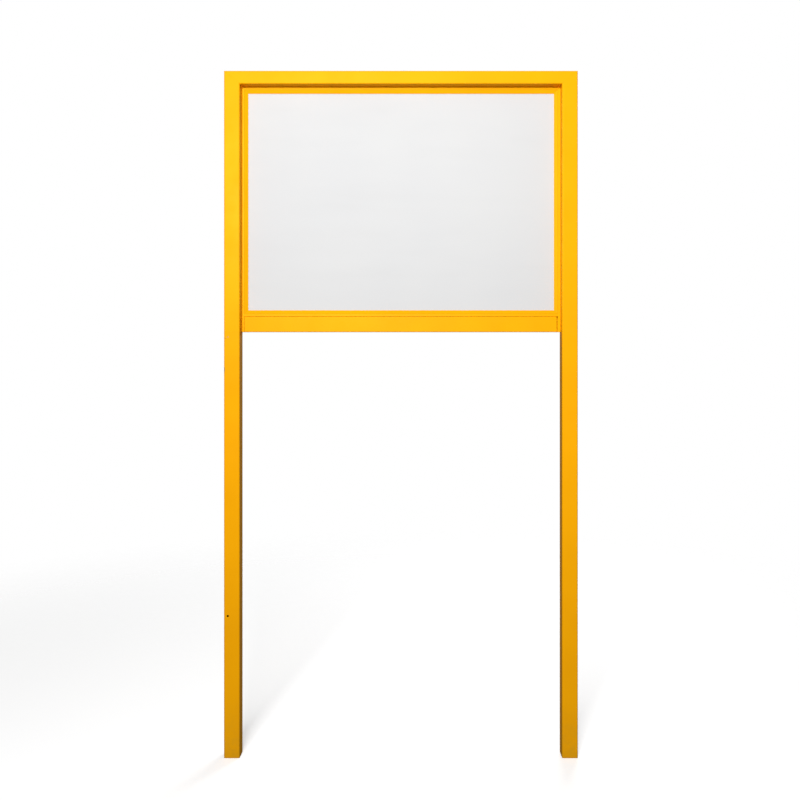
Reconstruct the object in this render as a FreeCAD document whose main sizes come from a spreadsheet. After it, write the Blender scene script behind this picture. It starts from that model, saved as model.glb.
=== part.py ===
"""Two-post sign: a steel portal on two spliced legs that carries a recessed frame with a blank A0 panel.

Frame: +Z up, the sign faces -Y, origin on the ground midway between the two posts.
Every bar around the sign is drawn in its own frame: X inward from the outer edge, Y the depth, Z its run.
"""
import FreeCAD, Part

import os

import Sketcher

Vector = FreeCAD.Vector
Rotation = FreeCAD.Rotation

SIZES = {
    # the portal: two posts and a head rail, 60 mm deep
    "post_width": 60,
    "post_wall": 3,
    "post_radius": 5,
    "least_inner_radius": 0.5,
    "head_height": 50,
    "opening_width": 1225,
    "splice_height": 1620,
    "foot_thick": 3,
    "collar_width": 52,
    "collar_height": 15,
    # the splice inside each post
    "spigot_width": 53.4,
    "spigot_wall": 2.5,
    "spigot_radius": 3,
    "spigot_reach": 150,
    "front_screw_edge": 15,
    "front_screw_drop": 20,
    "rear_screw_reach": 70,
    "leg_hole_radius": 4,
    "leg_hole_height": 540,
    # the recessed frame: a channel with a front lip and a rear flange
    "frame_front": 10,
    "frame_depth": 18,
    "channel_wall": 2,
    "lip_width": 10,
    "flange_width": 24,
    "view_height": 834,
    "rail_height": 60,
    "rail_depth": 16,
    "rail_wall": 1.5,
    "rail_radius": 3,
    "rail_length": 1199.6,
    "rail_left_gap": 0.8,
    "rail_drop": 0.5,
    "plug_depth": 8,
    "plug_play": 0.1,
    "plug_radius": 1.6,
    # the clip-in bead
    "bead_play": 0.2,
    "bead_front": 1,
    "bead_slope": 5,
    "bead_thick": 1.5,
    "bead_foot": 5,
    "bead_shoulder": 0.45,
    "bead_root": 2.25,
    "hook_reach": 5,
    # the panel and what holds it
    "panel_width": 1189,
    "panel_height": 841,
    "face_thick": 3,
    "backing_thick": 4,
    "gasket_thick": 1,
    "gasket_start": 21,
    "gasket_width": 2.5,
    "block_length": 60,
    "block_place": 400,
    "cleat_leg": 35,
    "cleat_width": 11,
    # screws
    "screw_radius": 2,
    "screw_hole_radius": 2.1,
    "screw_length": 12,
    "sunk_head_radius": 4,
    "sunk_head_height": 2,
    "sunk_head_play": 0.1,
    "pan_head_radius": 3.8,
    "pan_head_height": 2.4,
    "pan_head_chamfer": 1.2,
    "drive_radius": 1.4,
    "drive_depth": 1.2,
    "cleat_screw_place": 24,
}

# heights of the screws through a stile's web, from its lower end: beside the bottom rail, then above the sill
RAIL_END_SCREWS = (15, 45)
STILE_SCREWS = (290, 505, 720)
# places of the screws along the top bar and the sill, from the middle
BAR_SCREWS = (-300, 0, 300)

COUNTERSINK_ANGLE = 90

# quarter turns about Y that lay one bar's drawing along each side of the frame
SIDE_TURN = {"left": 0, "top": 90, "right": 180, "bottom": 270}

DOC = FreeCAD.newDocument("two_post_sign")


def make_sheet():
    """Put every driving dimension in a cell with an alias."""
    sheet = DOC.addObject("Spreadsheet::Sheet", "Sizes")
    for row, (alias, value) in enumerate(SIZES.items(), start=1):
        sheet.set(f"A{row}", alias)
        sheet.set(f"B{row}", str(value))
        sheet.setAlias(f"B{row}", alias)
    DOC.recompute()
    return sheet


SHEET = make_sheet()


def size(alias):
    """One driving dimension, read from the sheet."""
    return float(SHEET.get(alias))


# ---------------------------------------------------------------- heights and widths used by many pieces
SILL_BOTTOM = "(Sizes.splice_height + Sizes.rail_height)"
FRAME_HEIGHT = "(Sizes.view_height + 2 * Sizes.flange_width)"
HEAD_BOTTOM = f"({SILL_BOTTOM} + {FRAME_HEIGHT})"
OVERALL_HEIGHT = f"({HEAD_BOTTOM} + Sizes.head_height)"
OVERALL_WIDTH = "(Sizes.opening_width + 2 * Sizes.post_width)"
POST_CENTRE = "(Sizes.opening_width / 2 + Sizes.post_width / 2)"
HEAD_LENGTH = f"({OVERALL_HEIGHT} - Sizes.splice_height)"
FRAME_BACK = "(Sizes.frame_front + Sizes.frame_depth)"
FRAME_MIDDLE = "(Sizes.frame_front + Sizes.frame_depth / 2)"
PANEL_BOTTOM = f"({SILL_BOTTOM} + Sizes.flange_width + Sizes.view_height / 2 - Sizes.panel_height / 2)"
BACKING_BACK = f"({FRAME_BACK} - Sizes.channel_wall - Sizes.gasket_thick)"
BACKING_FRONT = f"({BACKING_BACK} - Sizes.backing_thick)"
FACE_FRONT = f"({BACKING_FRONT} - Sizes.face_thick)"


def value(expression):
    """The number that an expression over the sheet gives."""
    return float(SHEET.evalExpression(expression))


# ---------------------------------------------------------------- drawing helpers, whose cuts overrun by 1 mm
def new_body(label):
    body = DOC.addObject("PartDesign::Body", label)
    body.Label = label
    return body


def new_sketch(body, plane_role, offset=None):
    """A sketch on one of the body's own origin planes, moved along its normal if an offset is given."""
    sketch = body.newObject("Sketcher::SketchObject", f"{body.Name}_sketch")
    plane = next(item for item in body.Origin.OriginFeatures if item.Role == plane_role)
    sketch.AttachmentSupport = [(plane, "")]
    sketch.MapMode = "FlatFace"
    if offset is not None:
        sketch.setExpression("AttachmentOffset.Base.z", offset)
    return sketch


def fix_point(sketch, geometry, end, across, up):
    """Hold a point of the sketch at two expressions."""
    for kind, expression in (("DistanceX", across), ("DistanceY", up)):
        index = sketch.addConstraint(Sketcher.Constraint(kind, -1, 1, geometry, end, 1.0))
        sketch.setExpression(f"Constraints[{index}]", str(expression))


def add_outline(sketch, corners):
    """A closed outline of straight lines whose corners are pairs of expressions."""
    first = sketch.GeometryCount
    count = len(corners)
    for step in range(count):
        start = Vector(step + 1, (step + 1) ** 2, 0)
        end = Vector(step + 2, (step + 2) ** 2, 0)
        sketch.addGeometry(Part.LineSegment(start, end), False)
    for step in range(count):
        following = first + (step + 1) % count
        sketch.addConstraint(Sketcher.Constraint("Coincident", first + step, 2, following, 1))
    for step, (across, up) in enumerate(corners):
        fix_point(sketch, first + step, 1, across, up)


def add_circles(sketch, centres, radius):
    """Round holes of one radius."""
    for across, up in centres:
        geometry = sketch.addGeometry(Part.Circle(Vector(1, 1, 0), Vector(0, 0, 1), 2), False)
        fix_point(sketch, geometry, 3, across, up)
        index = sketch.addConstraint(Sketcher.Constraint("Radius", geometry, 2.0))
        sketch.setExpression(f"Constraints[{index}]", radius)


def rectangle(across, up, width, height):
    """Corners of a rectangle about a centre."""
    half_width, half_height = f"({width}) / 2", f"({height}) / 2"
    return [
        (f"{across} - {half_width}", f"{up} - {half_height}"),
        (f"{across} + {half_width}", f"{up} - {half_height}"),
        (f"{across} + {half_width}", f"{up} + {half_height}"),
        (f"{across} - {half_width}", f"{up} + {half_height}"),
    ]


def pad(body, sketch, length, reverse=False):
    feature = body.newObject("PartDesign::Pad", f"{body.Name}_pad")
    feature.Profile = sketch
    feature.Reversed = reverse
    feature.setExpression("Length", length)
    DOC.recompute()
    return feature


def cut(body, sketch, both_ways=True, reverse=False):
    """Cut a sketch through everything on one side of its plane, or on both, and check that it cut."""
    before = body.Shape.Volume
    feature = body.newObject("PartDesign::Pocket", f"{body.Name}_cut")
    feature.Profile = sketch
    feature.Type = "ThroughAll"
    feature.Midplane = both_ways
    feature.Reversed = reverse
    DOC.recompute()
    if body.Shape.Volume >= before:
        raise ValueError(f"{body.Label}: a cut removed nothing")


def round_long_edges(body, radius, keep):
    """Fillet the square corners along the run whose distance from the middle passes the test."""
    base = body.Tip
    names = []
    for number, edge in enumerate(body.Shape.Edges, start=1):
        middle = edge.CenterOfMass
        along_run = abs(edge.tangentAt(edge.FirstParameter).z) > 0.99
        if along_run and edge.Curve.TypeId == "Part::GeomLine" and keep(abs(middle.x)):
            names.append(f"Edge{number}")
    feature = body.newObject("PartDesign::Fillet", f"{body.Name}_round")
    feature.Base = (base, names)
    feature.setExpression("Radius", radius)
    DOC.recompute()


def place(piece, across="0", depth="0", up="0", turn=0):
    """Turn a piece about Y and bind its place to the sheet."""
    piece.Placement = FreeCAD.Placement(Vector(), Rotation(Vector(0, 1, 0), turn))
    piece.setExpression("Placement.Base.x", across)
    piece.setExpression("Placement.Base.y", depth)
    piece.setExpression("Placement.Base.z", up)
    return piece


def drill(body, plane_role, centres, radius, side):
    """Round holes on one side of a plane through the body's middle: side +1 is the plane's axis way."""
    sketch = new_sketch(body, plane_role)
    add_circles(sketch, centres, radius)
    # a sketch on the XZ plane looks along -Y, so its way is turned about
    forward = side < 0 if plane_role == "XZ_Plane" else side > 0
    cut(body, sketch, both_ways=False, reverse=forward)


# ---------------------------------------------------------------- tubes
def make_tube(label, width, depth, wall, radius, length):
    """A rectangular hollow section that runs along its own Z."""
    body = new_body(label)
    sketch = new_sketch(body, "XY_Plane")
    add_outline(sketch, rectangle("0", "0", width, depth))
    add_outline(sketch, rectangle("0", "0", f"{width} - 2 * {wall}", f"{depth} - 2 * {wall}"))
    pad(body, sketch, length)
    wall_middle = value(f"{width} / 2 - {wall} / 2")
    round_long_edges(body, f"max({radius} - {wall}; Sizes.least_inner_radius)", lambda x: x < wall_middle)
    round_long_edges(body, radius, lambda x: x > wall_middle)
    return body


def make_post_tube(label, length):
    """A piece of the square tube that the posts are cut from."""
    width = "Sizes.post_width"
    return make_tube(label, width, width, "Sizes.post_wall", "Sizes.post_radius", length)


def sink_hole(body, across, up, face):
    """One countersunk screw hole through the front (-1) or the rear (+1) wall of an upright tube."""
    sketch = new_sketch(body, "XZ_Plane", f"{-face} * Sizes.post_width / 2")
    add_circles(sketch, [(across, up)], "Sizes.screw_hole_radius")
    before = body.Shape.Volume
    hole = body.newObject("PartDesign::Hole", f"{body.Name}_screw_hole")
    hole.Profile = sketch
    DOC.recompute()
    hole.ThreadType = "None"
    hole.DepthType = "Dimension"
    hole.Reversed = face > 0
    hole.setExpression("Diameter", "2 * Sizes.screw_hole_radius")
    hole.setExpression("Depth", "2 * Sizes.post_wall")
    hole.HoleCutType = "Countersink"
    hole.setExpression("HoleCutDiameter", "2 * (Sizes.sunk_head_radius + Sizes.sunk_head_play)")
    hole.HoleCutCountersinkAngle = COUNTERSINK_ANGLE
    DOC.recompute()
    if body.Shape.Volume >= before:
        raise ValueError(f"{body.Label}: a screw hole removed nothing")


# ---------------------------------------------------------------- where the frame's screws go
SILL_CLEAT_SCREW = "(Sizes.rail_height + Sizes.channel_wall + Sizes.cleat_screw_place)"
TOP_CLEAT_SCREW = f"(Sizes.rail_height + {FRAME_HEIGHT} - Sizes.channel_wall - Sizes.cleat_screw_place)"
BAR_CLEAT_SCREW = "(Sizes.opening_width / 2 - Sizes.channel_wall - Sizes.cleat_screw_place)"


def low_screw_heights():
    """Heights, from a stile's lower end, of the screws that also pass through the splice spigot."""
    return [str(height) for height in RAIL_END_SCREWS] + [SILL_CLEAT_SCREW]


def stile_screw_heights():
    """Heights of all the screws through a stile, from its lower end."""
    return low_screw_heights() + [str(height) for height in STILE_SCREWS] + [TOP_CLEAT_SCREW]


def bar_screw_places():
    """Places of the screws through the top bar or the sill, from the middle."""
    return [f"-{BAR_CLEAT_SCREW}", BAR_CLEAT_SCREW] + [str(along) for along in BAR_SCREWS]


def drill_along(bar, middle, depth, side):
    """The row of screw holes in a lying bar's wall, given the run to its middle."""
    centres = [(depth, f"{middle} + {along}") for along in bar_screw_places()]
    drill(bar, "YZ_Plane", centres, "Sizes.screw_hole_radius", side)


# ---------------------------------------------------------------- the portal
def make_leg(label, side):
    """A lower leg with its splice screw holes; the left one has a plain hole low in its front wall too."""
    length = "Sizes.splice_height - Sizes.foot_thick"
    leg = make_post_tube(label, length)
    sink_hole(leg, "0", f"{length} - Sizes.rear_screw_reach", +1)
    if side < 0:
        edge = "-Sizes.post_width / 2 + Sizes.front_screw_edge"
        sink_hole(leg, edge, f"{length} - Sizes.front_screw_drop", -1)
        low = "Sizes.leg_hole_height - Sizes.foot_thick"
        drill(leg, "XZ_Plane", [(edge, low)], "Sizes.leg_hole_radius", -1)
    return place(leg, f"{side} * {POST_CENTRE}", up="Sizes.foot_thick")


def make_head_post(label, side):
    """The upper half of a post, mitred at the top to meet the head rail."""
    post = make_post_tube(label, HEAD_LENGTH)
    outer = f"{side} * Sizes.post_width / 2"
    inner = f"-{side} * Sizes.post_width / 2"
    mitre = new_sketch(post, "XZ_Plane")
    add_outline(mitre, [(outer, HEAD_LENGTH), (inner, f"{HEAD_LENGTH} - Sizes.head_height"),
                        (inner, f"{HEAD_LENGTH} + 1"), (outer, f"{HEAD_LENGTH} + 1")])
    cut(post, mitre)
    sink_hole(post, "0", "Sizes.rear_screw_reach", +1)
    drill(post, "YZ_Plane", [(FRAME_MIDDLE, height) for height in stile_screw_heights()],
          "Sizes.screw_hole_radius", -side)
    return place(post, f"{side} * {POST_CENTRE}", up="Sizes.splice_height")


def make_head_rail():
    """The rail across the top, mitred at both ends; its own X points down."""
    rail = make_tube("head_rail", "Sizes.head_height", "Sizes.post_width", "Sizes.post_wall",
                     "Sizes.post_radius", OVERALL_WIDTH)
    top, bottom = "-Sizes.head_height / 2", "Sizes.head_height / 2"
    ends = new_sketch(rail, "XZ_Plane")
    add_outline(ends, [(top, "0"), (bottom, "Sizes.post_width"), (bottom, "-1"), (top, "-1")])
    add_outline(ends, [(top, OVERALL_WIDTH), (bottom, f"{OVERALL_WIDTH} - Sizes.post_width"),
                       (bottom, f"{OVERALL_WIDTH} + 1"), (top, f"{OVERALL_WIDTH} + 1")])
    cut(rail, ends)
    drill_along(rail, f"{OVERALL_WIDTH} / 2", FRAME_MIDDLE, +1)
    return place(rail, f"-{OVERALL_WIDTH} / 2", up=f"{OVERALL_HEIGHT} - Sizes.head_height / 2", turn=90)


def make_spigot(label, side):
    """The sleeve inside a post that the leg and the head post slide over."""
    length = "2 * Sizes.spigot_reach"
    spigot = make_tube(label, "Sizes.spigot_width", "Sizes.spigot_width", "Sizes.spigot_wall",
                       "Sizes.spigot_radius", length)
    rear = [("0", f"Sizes.spigot_reach {sign} Sizes.rear_screw_reach") for sign in "-+"]
    drill(spigot, "XZ_Plane", rear, "Sizes.screw_hole_radius", +1)
    if side < 0:
        edge = "-Sizes.post_width / 2 + Sizes.front_screw_edge"
        front = [(edge, "Sizes.spigot_reach - Sizes.front_screw_drop")]
        drill(spigot, "XZ_Plane", front, "Sizes.screw_hole_radius", -1)
    inner = [(FRAME_MIDDLE, f"Sizes.spigot_reach + {height}") for height in low_screw_heights()]
    drill(spigot, "YZ_Plane", inner, "Sizes.screw_hole_radius", -side)
    return place(spigot, f"{side} * {POST_CENTRE}", up="Sizes.splice_height - Sizes.spigot_reach")


def make_foot_cap(label, side):
    """The plate that closes a leg's lower end, with a square collar that locates it inside the tube."""
    cap = new_body(label)
    plate = new_sketch(cap, "XY_Plane")
    add_outline(plate, rectangle("0", "0", "Sizes.post_width", "Sizes.post_width"))
    pad(cap, plate, "Sizes.foot_thick")
    round_long_edges(cap, "Sizes.post_radius", lambda x: x > 0)
    collar = new_sketch(cap, "XY_Plane")
    for width in ("Sizes.collar_width", "Sizes.collar_width - 2 * Sizes.post_wall"):
        add_outline(collar, rectangle("0", "0", width, width))
    pad(cap, collar, "Sizes.foot_thick + Sizes.collar_height")
    return place(cap, f"{side} * {POST_CENTRE}")


# ---------------------------------------------------------------- the recessed frame
def channel_outline():
    """The frame's section: a web on the post, a short lip in front and a wide flange behind."""
    front, back, wall = "Sizes.frame_front", FRAME_BACK, "Sizes.channel_wall"
    return [
        ("0", front),
        ("Sizes.lip_width", front),
        ("Sizes.lip_width", f"{front} + {wall}"),
        (wall, f"{front} + {wall}"),
        (wall, f"{back} - {wall}"),
        ("Sizes.flange_width", f"{back} - {wall}"),
        ("Sizes.flange_width", back),
        ("0", back),
    ]


def bead_outline():
    """The bead's section: a sloping face, a foot on the gasket and a hook behind the lip."""
    face = "(Sizes.frame_front + Sizes.bead_front)"
    edge = f"({face} + Sizes.bead_slope)"
    foot = f"({FACE_FRONT} - Sizes.gasket_thick)"
    start = "(Sizes.lip_width + Sizes.bead_play)"
    behind = "(Sizes.frame_front + Sizes.channel_wall + Sizes.bead_play)"
    return [
        (start, face),
        ("Sizes.flange_width", edge),
        ("Sizes.flange_width", foot),
        ("Sizes.flange_width - Sizes.bead_foot", foot),
        ("Sizes.flange_width - Sizes.bead_foot", f"{edge} - Sizes.bead_shoulder"),
        (f"{start} + Sizes.bead_thick", f"{face} + Sizes.bead_root"),
        (f"{start} + Sizes.bead_thick", f"{behind} + Sizes.bead_thick"),
        ("Sizes.hook_reach", f"{behind} + Sizes.bead_thick"),
        ("Sizes.hook_reach", behind),
        (start, behind),
    ]


def strip_outline(front):
    """A gasket strip's section, given the depth of its front face."""
    start, end = "Sizes.gasket_start", "(Sizes.gasket_start + Sizes.gasket_width)"
    back = f"{front} + Sizes.gasket_thick"
    return [(start, front), (end, front), (end, back), (start, back)]


def make_bar(label, outline, length, mitre_start=True, mitre_end=True):
    """A bar with the given section, its ends cut at 45 degrees where asked."""
    bar = new_body(label)
    section = new_sketch(bar, "XY_Plane")
    add_outline(section, outline)
    pad(bar, section, length)
    wide = "(Sizes.flange_width + 1)"
    ends = new_sketch(bar, "XZ_Plane")
    if mitre_start:
        add_outline(ends, [("0", "0"), (wide, wide), (wide, "-1"), ("0", "-1")])
    if mitre_end:
        add_outline(ends, [("0", length), (wide, f"{length} - {wide}"), (wide, f"{length} + 1"),
                           ("0", f"{length} + 1")])
    cut(bar, ends)
    return bar


def place_bar(bar, side, low_edge):
    """Lay a bar along one side of the opening, going round clockwise from the lower left corner."""
    half = "Sizes.opening_width / 2"
    corner = {
        "left": (f"-{half}", low_edge),
        "top": (f"-{half}", HEAD_BOTTOM),
        "right": (half, HEAD_BOTTOM),
        "bottom": (half, low_edge),
    }
    across, up = corner[side]
    return place(bar, across, up=up, turn=SIDE_TURN[side])


def make_stile(side):
    """A side member, mitred at the top; below the sill its flange stands behind the bottom rail's end."""
    length = f"({FRAME_HEIGHT} + Sizes.rail_height)"
    left = side == "left"
    stile = make_bar(f"{side}_stile", channel_outline(), length, mitre_start=not left, mitre_end=left)
    heights = stile_screw_heights()
    if not left:
        heights = [f"{length} - ({height})" for height in heights]
    drill(stile, "YZ_Plane", [(FRAME_MIDDLE, height) for height in heights], "Sizes.screw_hole_radius", +1)
    return place_bar(stile, side, "Sizes.splice_height")


def make_top_bar():
    """The frame's top member, mitred at both ends."""
    bar = make_bar("top_bar", channel_outline(), "Sizes.opening_width")
    drill_along(bar, "Sizes.opening_width / 2", FRAME_MIDDLE, +1)
    return place_bar(bar, "top", SILL_BOTTOM)


def make_sill():
    """The frame's lower member, coped round the stiles at both ends."""
    length = "Sizes.opening_width"
    bar = new_body("sill")
    section = new_sketch(bar, "XY_Plane")
    add_outline(section, channel_outline())
    pad(bar, section, length)
    wall, lip, flange = "Sizes.channel_wall", "Sizes.lip_width", "Sizes.flange_width"
    front, back = "Sizes.frame_front", FRAME_BACK
    steps = [(f"{front} - 1", lip), (f"{front} + {wall}", lip), (f"{front} + {wall}", wall),
             (f"{back} - {wall}", wall), (f"{back} - {wall}", flange), (f"{back} + 1", flange)]
    ends = new_sketch(bar, "YZ_Plane")
    add_outline(ends, [(f"{front} - 1", "-1")] + steps + [(f"{back} + 1", "-1")])
    far_steps = [(depth, f"{length} - {run}") for depth, run in steps]
    far_end = f"{length} + 1"
    add_outline(ends, [(f"{front} - 1", far_end)] + far_steps + [(f"{back} + 1", far_end)])
    cut(bar, ends)
    drill_along(bar, f"{length} / 2", FRAME_MIDDLE, +1)
    return place_bar(bar, "bottom", SILL_BOTTOM)


RAIL_START = "(-Sizes.opening_width / 2 + Sizes.lip_width + Sizes.rail_left_gap)"
RAIL_MIDDLE_DEPTH = "(Sizes.frame_front + Sizes.rail_depth / 2)"
RAIL_MIDDLE_UP = "(Sizes.splice_height + Sizes.rail_height / 2 - Sizes.rail_drop / 2)"


def make_bottom_rail():
    """The flat tube under the sill, a little short of the right stile; its own X points down."""
    rail = make_tube("bottom_rail", "(Sizes.rail_height - Sizes.rail_drop)", "Sizes.rail_depth",
                     "Sizes.rail_wall", "Sizes.rail_radius", "Sizes.rail_length")
    drill_along(rail, f"-{RAIL_START}", f"({FRAME_MIDDLE} - {RAIL_MIDDLE_DEPTH})", -1)
    return place(rail, RAIL_START, RAIL_MIDDLE_DEPTH, RAIL_MIDDLE_UP, turn=90)


def make_rail_plug(label, start):
    """A push-in plug that closes one end of the bottom rail, flush with the tube's end."""
    gap = "2 * (Sizes.rail_wall + Sizes.plug_play)"
    plug = make_tube(label, f"(Sizes.rail_height - Sizes.rail_drop - {gap})", f"(Sizes.rail_depth - {gap})",
                     "Sizes.rail_wall", "Sizes.plug_radius", "Sizes.plug_depth")
    return place(plug, start, RAIL_MIDDLE_DEPTH, RAIL_MIDDLE_UP, turn=90)


def make_cleat(label, side, up, turn):
    """A corner angle inside the channel, one leg on each web, with a screw hole in each leg."""
    wall, leg = "Sizes.channel_wall", "Sizes.cleat_leg"
    cleat = new_body(label)
    angle = new_sketch(cleat, "XZ_Plane")
    add_outline(angle, [("0", "0"), (leg, "0"), (leg, wall), (wall, wall), (wall, leg), ("0", leg)])
    pad(cleat, angle, "Sizes.cleat_width")
    middle, hole = "-Sizes.cleat_width / 2", "Sizes.cleat_screw_place"
    drill(cleat, "XY_Plane", [(hole, middle)], "Sizes.screw_hole_radius", +1)
    drill(cleat, "YZ_Plane", [(middle, hole)], "Sizes.screw_hole_radius", +1)
    across = f"{side} * (Sizes.opening_width / 2 - {wall})"
    return place(cleat, across, f"{FRAME_MIDDLE} + Sizes.cleat_width / 2", up, turn)


# ---------------------------------------------------------------- the panel
def make_box(label, width, depth, height, across, front, up):
    """A plain block, given its size and its lowest corner."""
    block = DOC.addObject("Part::Box", label)
    block.Label = label
    for side_name, expression in (("Length", width), ("Width", depth), ("Height", height)):
        block.setExpression(side_name, expression)
    return place(block, across, front, up)


def make_panel():
    """The blank A0 face, the backing board behind it and the two blocks they stand on."""
    left = "-Sizes.panel_width / 2"
    face = make_box("sign_face", "Sizes.panel_width", "Sizes.face_thick", "Sizes.panel_height",
                    left, FACE_FRONT, PANEL_BOTTOM)
    board = make_box("backing_board", "Sizes.panel_width", "Sizes.backing_thick", "Sizes.panel_height",
                     left, BACKING_FRONT, PANEL_BOTTOM)
    blocks = []
    web_top = f"({SILL_BOTTOM} + Sizes.channel_wall)"
    for name, sign in (("left", "-"), ("right", "+")):
        blocks.append(make_box(f"{name}_setting_block", "Sizes.block_length",
                               "(Sizes.face_thick + Sizes.backing_thick)", f"{PANEL_BOTTOM} - {web_top}",
                               f"{sign}Sizes.block_place - Sizes.block_length / 2", FACE_FRONT, web_top))
    return [face, board] + blocks


# ---------------------------------------------------------------- screws
def turned_screw(label, profile):
    """A screw turned about Z, head up with its seat at the origin, and a cross-shaped drive recess."""
    screw = new_body(label)
    sketch = new_sketch(screw, "XZ_Plane")
    add_outline(sketch, profile)
    turn = screw.newObject("PartDesign::Revolution", f"{label}_turn")
    turn.Profile = sketch
    turn.ReferenceAxis = (sketch, ["V_Axis"])
    DOC.recompute()
    recess = new_sketch(screw, "XY_Plane", profile[0][1])
    across, narrow = "Sizes.drive_radius", "Sizes.drive_radius / 4"
    add_outline(recess, [
        (across, f"-{narrow}"), (across, narrow), (narrow, narrow), (narrow, across),
        (f"-{narrow}", across), (f"-{narrow}", narrow), (f"-{across}", narrow), (f"-{across}", f"-{narrow}"),
        (f"-{narrow}", f"-{narrow}"), (f"-{narrow}", f"-{across}"), (narrow, f"-{across}"),
        (narrow, f"-{narrow}"),
    ])
    before = screw.Shape.Volume
    pocket = screw.newObject("PartDesign::Pocket", f"{label}_recess")
    pocket.Profile = recess
    pocket.setExpression("Length", "Sizes.drive_depth")
    DOC.recompute()
    if screw.Shape.Volume >= before:
        raise ValueError(f"{label}: the drive recess removed nothing")
    return screw


def sunk_screw_profile():
    shank, head = "Sizes.screw_radius", "Sizes.sunk_head_radius"
    return [("0", "0"), (head, "0"), (shank, "-Sizes.sunk_head_height"),
            (shank, "-Sizes.screw_length"), ("0", "-Sizes.screw_length - Sizes.screw_radius")]


def pan_screw_profile():
    shank, head, top = "Sizes.screw_radius", "Sizes.pan_head_radius", "Sizes.pan_head_height"
    chamfer = "Sizes.pan_head_chamfer"
    return [("0", top), (f"{head} - {chamfer}", top), (head, f"{top} - {chamfer}"), (head, "0"), (shank, "0"),
            (shank, "-Sizes.screw_length"), ("0", "-Sizes.screw_length - Sizes.screw_radius")]


def screw_group(label, master, seats):
    """Copies of one screw, each given by its seat and the way its head faces."""
    copies = []
    for seat, outward in seats:
        copy = master.Shape.copy()
        copy.Placement = FreeCAD.Placement(seat, Rotation(Vector(0, 0, 1), outward))
        copies.append(copy)
    group = DOC.addObject("Part::Feature", label)
    group.Label = label
    group.Shape = Part.makeCompound(copies)
    group.Placement = FreeCAD.Placement()
    return group


def splice_screws(master):
    """The one screw seen in the left leg's front, and the four behind."""
    post, splice = value(POST_CENTRE), size("splice_height")
    face = size("post_width") / 2
    edge = -post - face + size("front_screw_edge")
    front = [(Vector(edge, -face, splice - size("front_screw_drop")), Vector(0, -1, 0))]
    rear = []
    for side in (-1, 1):
        for step in (-1, 1):
            seat = Vector(side * post, face, splice + step * size("rear_screw_reach"))
            rear.append((seat, Vector(0, 1, 0)))
    return [screw_group("front_splice_screw", master, front), screw_group("rear_splice_screws", master, rear)]


def frame_screws(master):
    """The screws through the stiles, the top bar and the sill, under the beads."""
    wall, depth = size("channel_wall"), value(FRAME_MIDDLE)
    half = size("opening_width") / 2
    groups = []
    for label, side in (("left_stile_screws", -1), ("right_stile_screws", 1)):
        seats = []
        for height in stile_screw_heights():
            stack = 2 * wall if height in (SILL_CLEAT_SCREW, TOP_CLEAT_SCREW) else wall
            seat = Vector(side * (half - stack), depth, size("splice_height") + value(height))
            seats.append((seat, Vector(-side, 0, 0)))
        groups.append(screw_group(label, master, seats))
    rows = (("top_bar_screws", value(HEAD_BOTTOM), -1), ("sill_screws", value(SILL_BOTTOM), 1))
    for label, web, outward in rows:
        seats = []
        for along in bar_screw_places():
            stack = 2 * wall if BAR_CLEAT_SCREW in along else wall
            seat = Vector(value(along), depth, web + outward * stack)
            seats.append((seat, Vector(0, 0, outward)))
        groups.append(screw_group(label, master, seats))
    return groups


# ---------------------------------------------------------------- the whole sign
def make_portal():
    pieces = [make_head_rail()]
    for name, side in (("left", -1), ("right", 1)):
        pieces.append(make_leg(f"{name}_leg", side))
        pieces.append(make_head_post(f"{name}_head_post", side))
        pieces.append(make_spigot(f"{name}_splice_spigot", side))
        pieces.append(make_foot_cap(f"{name}_foot_cap", side))
    return pieces


def make_frame():
    pieces = [make_stile("left"), make_stile("right"), make_top_bar(), make_sill(), make_bottom_rail()]
    pieces.append(make_rail_plug("left_rail_plug", RAIL_START))
    pieces.append(make_rail_plug("right_rail_plug", f"{RAIL_START} + Sizes.rail_length - Sizes.plug_depth"))
    top = f"{HEAD_BOTTOM} - Sizes.channel_wall"
    low = f"{SILL_BOTTOM} + Sizes.channel_wall"
    pieces.append(make_cleat("sill_left_cleat", -1, low, 0))
    pieces.append(make_cleat("top_left_cleat", -1, top, 90))
    pieces.append(make_cleat("top_right_cleat", 1, top, 180))
    pieces.append(make_cleat("sill_right_cleat", 1, low, 270))
    return pieces


def make_beads_and_gaskets():
    """A bead, a gasket strip under it and a strip behind the board on each of the four sides."""
    pieces = []
    front_gasket = f"({FACE_FRONT} - Sizes.gasket_thick)"
    for side in SIDE_TURN:
        length = FRAME_HEIGHT if side in ("left", "right") else "Sizes.opening_width"
        for label, outline in (("bead", bead_outline()),
                               ("front_gasket", strip_outline(front_gasket)),
                               ("rear_gasket", strip_outline(BACKING_BACK))):
            bar = make_bar(f"{side}_{label}", outline, length)
            pieces.append(place_bar(bar, side, SILL_BOTTOM))
    return pieces


def export(pieces):
    """Check every object and every piece's shape, then write one file per piece."""
    DOC.recompute()
    for item in DOC.Objects:
        if "Invalid" in item.State or "Error" in item.State:
            raise ValueError(f"{item.Label}: {item.State}")
    for piece in pieces:
        if piece.Shape.isNull() or not piece.Shape.isValid():
            raise ValueError(f"{piece.Label}: its shape is not valid")
    os.makedirs("parts", exist_ok=True)
    for piece in pieces:
        piece.Shape.exportStep(f"parts/{piece.Label}.step")
        print(f"{piece.Label}: {len(piece.Shape.Solids)} solid(s), {piece.Shape.Volume / 1000:.1f} cm3")


def main():
    pieces = make_portal() + make_frame() + make_beads_and_gaskets() + make_panel()
    sunk_screw = turned_screw("sunk_screw", sunk_screw_profile())
    pan_screw = turned_screw("pan_screw", pan_screw_profile())
    pieces += splice_screws(sunk_screw) + frame_screws(pan_screw)
    export(pieces)


main()
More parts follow.
